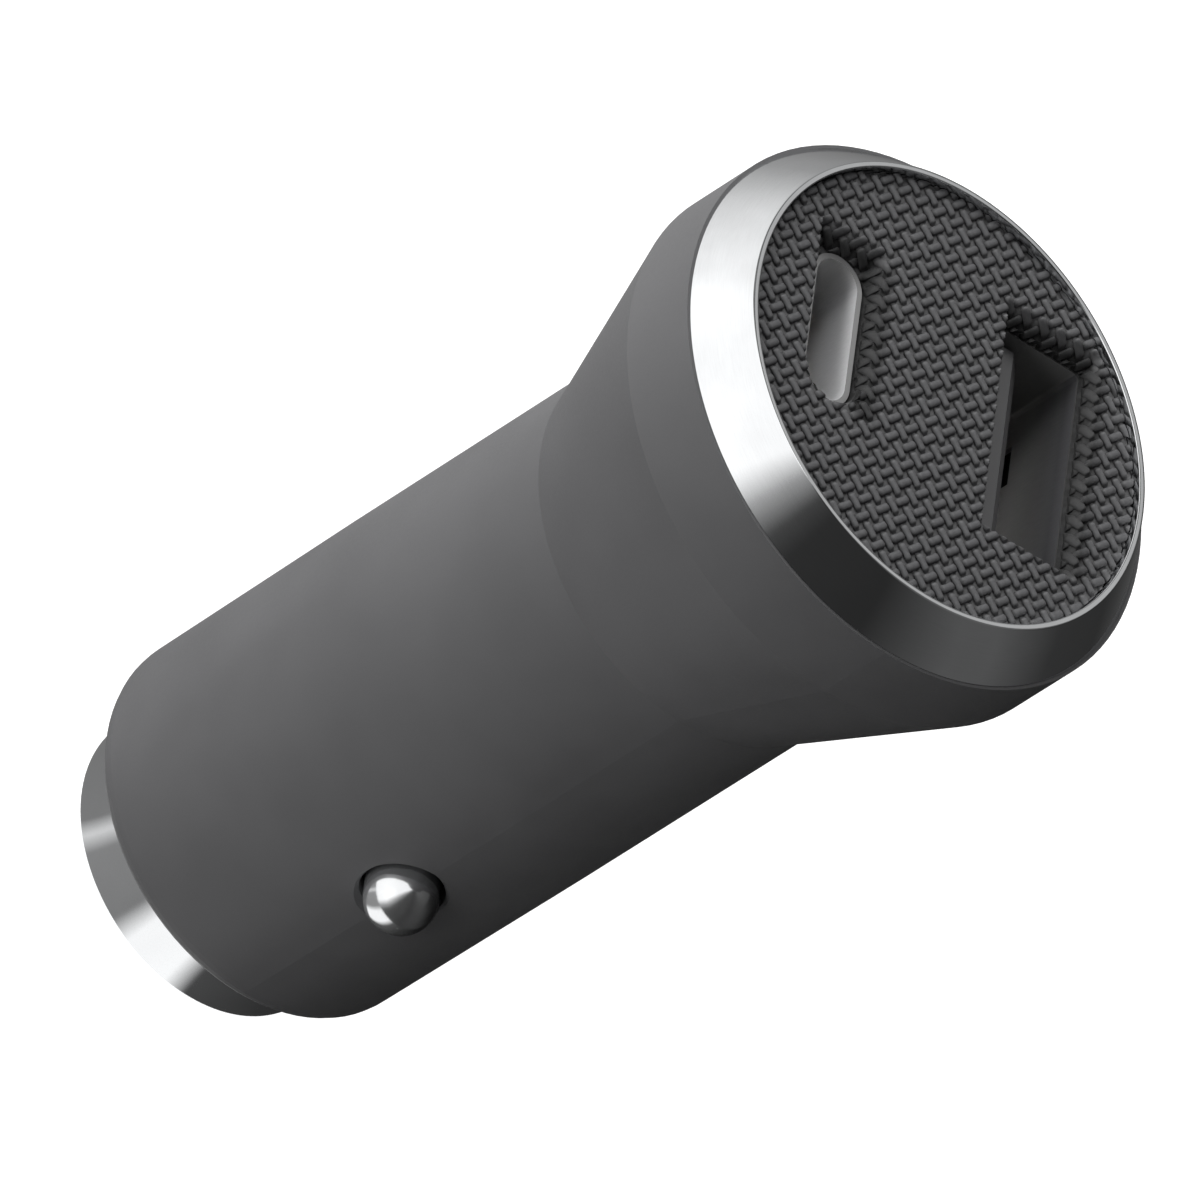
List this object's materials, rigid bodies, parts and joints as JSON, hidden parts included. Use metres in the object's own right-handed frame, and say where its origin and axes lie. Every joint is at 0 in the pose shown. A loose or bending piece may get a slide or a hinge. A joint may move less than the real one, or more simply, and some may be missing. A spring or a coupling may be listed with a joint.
{
  "type": "car usb charger plug",
  "caption": "Car charger plug with a flared head, a woven face with a wide and a narrow usb socket in a polished rim, and a barrel with sprung side and tip contacts.",
  "frame": {"origin": "on the plug's axis, at the upper end of the barrel's straight stretch, where the cone begins", "axes": "+Z along the plug's axis from the tip towards the face, +X along the length of both sockets, through the right side contact, +Y from the narrow socket towards the wide one"},
  "size_m": [0.029, 0.029, 0.06],
  "materials": {
    "body_plastic": "fine matt grain",
    "bezel_chrome": "polished",
    "plate_plastic": "matt",
    "weave": "woven threads with a slight sheen",
    "dark_shell": "dull plated sheet",
    "bright_shell": "plated sheet",
    "pale_tongue": "matt",
    "dark_tongue": "matt",
    "plated_contacts": "gold plated",
    "board": "solder mask",
    "wound_core": "matt",
    "can": "drawn can",
    "chip": "moulded",
    "ceramic": "fired",
    "pale_ceramic": "fired",
    "cap_chrome": "polished",
    "contact_chrome": "polished",
    "spring_wire": "drawn wire",
    "brass": "turned"
  },
  "bodies": {
    "charger": {"housing": "body_plastic", "bezel_ring": "bezel_chrome", "face_plate": "plate_plastic", "woven_cover": "weave", "usb_a_shell": "dark_shell", "usb_a_tongue": "pale_tongue", "usb_a_contacts": "plated_contacts", "usb_c_shell": "bright_shell", "usb_c_tongue": "dark_tongue", "usb_c_contacts": "plated_contacts", "port_board": "board", "main_board": "board", "inductor": "wound_core", "input_capacitor": "can", "output_capacitor": "can", "converter_chip": "chip", "charge_chip": "chip", "diode": "chip", "fuse_chip": "pale_ceramic", "ceramic_capacitors": "ceramic", "resistors": "chip", "tip_ring": "cap_chrome", "tip_spring": "spring_wire", "tip_terminal": "brass", "right_spring": "spring_wire", "right_cup": "brass", "left_spring": "spring_wire", "left_cup": "brass"},
    "tip": {"tip_contact": "contact_chrome"},
    "right_ball": {"right_contact": "contact_chrome"},
    "left_ball": {"left_contact": "contact_chrome"}
  },
  "joints": [
    {"name": "tip_slide", "type": "slide", "parent": "charger", "child": "tip", "axis": [0, 0, 1], "range_m": [0, 0.003], "stiffness_N_per_m": 1500, "springref_m": -0.003, "deforming": ["tip_spring"]},
    {"name": "right_slide", "type": "slide", "parent": "charger", "child": "right_ball", "axis": [-1, 0, 0], "range_m": [0, 0.0018], "stiffness_N_per_m": 2000, "springref_m": -0.0015, "deforming": ["right_spring"]},
    {"name": "left_slide", "type": "slide", "parent": "charger", "child": "left_ball", "axis": [1, 0, 0], "range_m": [0, 0.0018], "stiffness_N_per_m": 2000, "springref_m": -0.0015, "deforming": ["left_spring"]}
  ]
}
